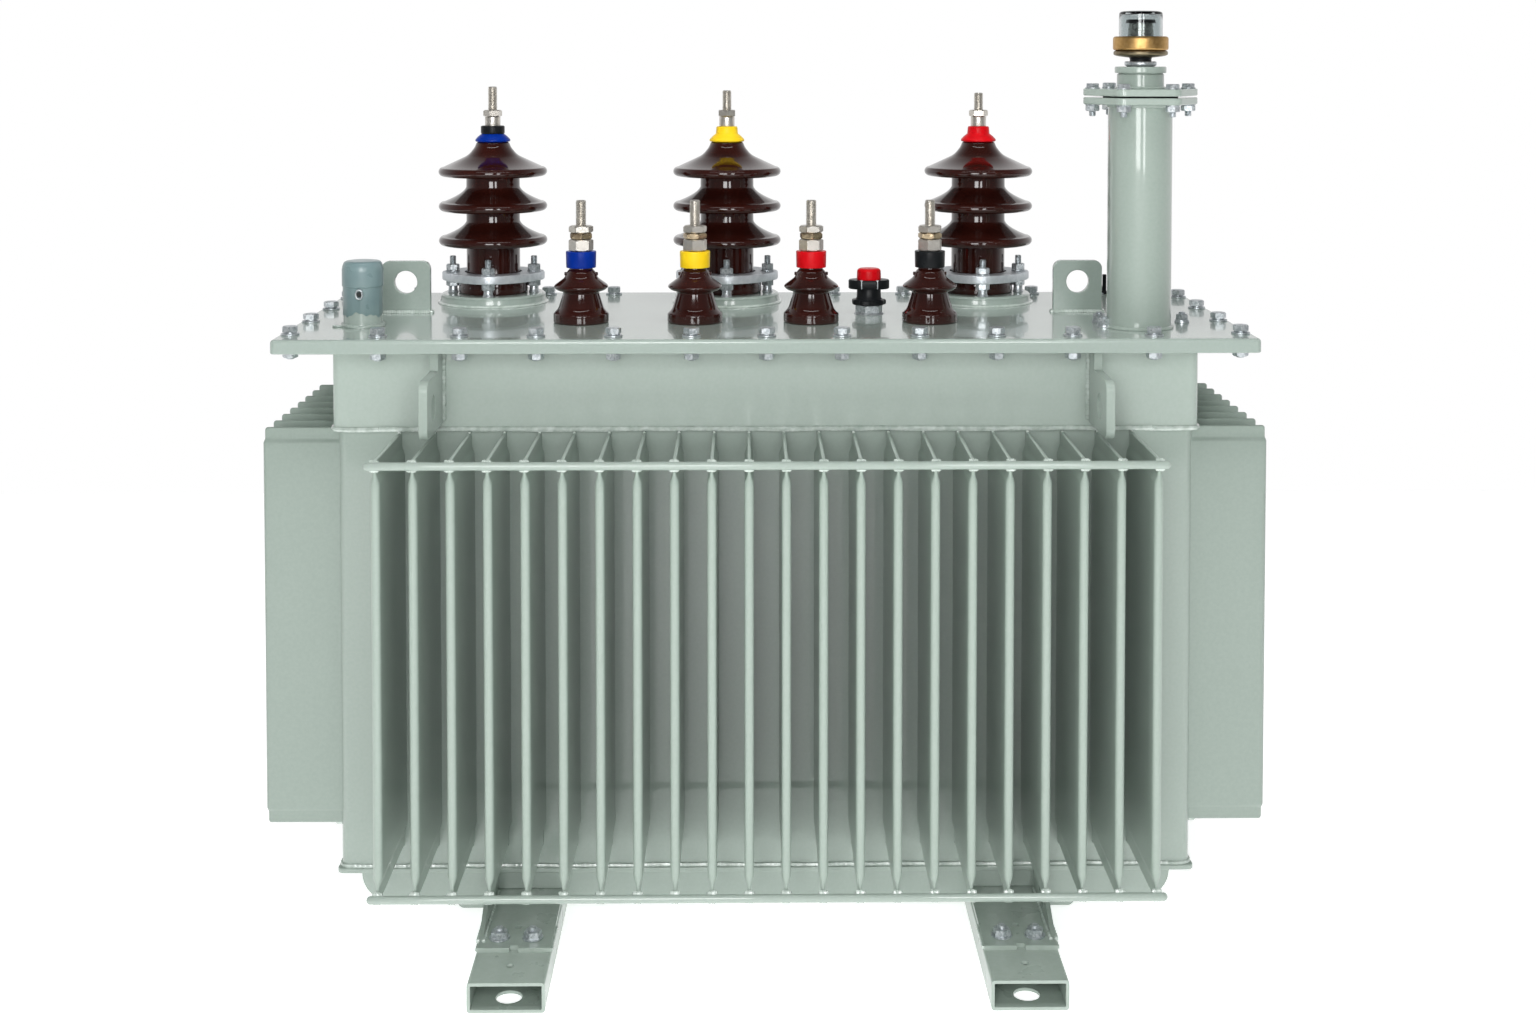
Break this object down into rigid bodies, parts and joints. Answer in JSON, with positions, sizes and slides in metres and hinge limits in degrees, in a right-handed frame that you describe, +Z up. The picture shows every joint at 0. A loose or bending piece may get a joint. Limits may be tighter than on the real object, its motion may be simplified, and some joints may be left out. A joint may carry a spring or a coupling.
{
  "type": "oil-filled three-phase power transformer with corrugated tank",
  "caption": "Oil-filled power transformer: corrugated tank on two skids, bolted lid with brown porcelain bushings, tap changer, thermometer pocket and oil riser with level gauge.",
  "frame": {"origin": "on the ground, midway between the two skids, at the middle of the underside", "axes": "+X along the tank's long side towards the oil riser, +Y from the low-voltage (front) side to the high-voltage (back) side, +Z up"},
  "size_m": [1.158, 0.732, 1.0535],
  "materials": {
    "tank_paint": "gloss pale grey-green paint",
    "lid_paint": "gloss pale grey-green paint",
    "skid_paint": "gloss pale grey-green paint",
    "pocket_paint": "blue-grey satin paint",
    "gasket": "black cork rubber",
    "porcelain": "dark brown glazed porcelain",
    "cap_blue": "glossy blue",
    "cap_yellow": "glossy yellow",
    "cap_red": "glossy red",
    "cap_black": "glossy black",
    "clamp_metal": "cast aluminium, satin",
    "stud_metal": "tinned threaded studs",
    "zinc": "bright zinc plated",
    "tap_black": "black moulded plastic",
    "tap_red": "red moulded plastic",
    "gauge_metal": "brownish plated metal",
    "gauge_brass": "brushed brass",
    "gauge_glass": "clear glass",
    "gauge_float": "satin grey"
  },
  "bodies": {
    "root": {"skids": "skid_paint", "skid_saddles": "skid_paint", "tank_skirts": "tank_paint", "tank_bottom": "tank_paint", "tank_shell": "tank_paint", "front_fins": "tank_paint", "back_fins": "tank_paint", "left_fins": "tank_paint", "right_fins": "tank_paint", "front_fin_bars": "tank_paint", "back_fin_bars": "tank_paint", "tank_collar": "tank_paint", "tank_flange": "lid_paint", "gaskets": "gasket", "lid": "lid_paint", "lid_lugs": "lid_paint", "tank_lugs": "tank_paint", "hv_bosses": "lid_paint", "hv_clamps": "clamp_metal", "hv_terminals": "stud_metal", "hv_insulator_1": "porcelain", "hv_insulator_2": "porcelain", "hv_insulator_3": "porcelain", "hv_cap_1": "cap_blue", "hv_cap_2": "cap_yellow", "hv_cap_3": "cap_red", "lv_terminals": "stud_metal", "lv_insulator_1": "porcelain", "lv_insulator_2": "porcelain", "lv_insulator_3": "porcelain", "lv_insulator_4": "porcelain", "lv_ring_1": "cap_blue", "lv_ring_2": "cap_yellow", "lv_ring_3": "cap_red", "lv_ring_4": "cap_black", "tap_base": "zinc", "tap_body": "tap_black", "tap_cap": "tap_red", "pocket_body": "pocket_paint", "pocket_cap": "pocket_paint", "riser_pipe": "lid_paint", "riser_cover": "lid_paint", "gauge_body": "gauge_metal", "gauge_ring": "gauge_brass", "gauge_glass": "gauge_glass", "gauge_float": "gauge_float"}
  },
  "joints": []
}
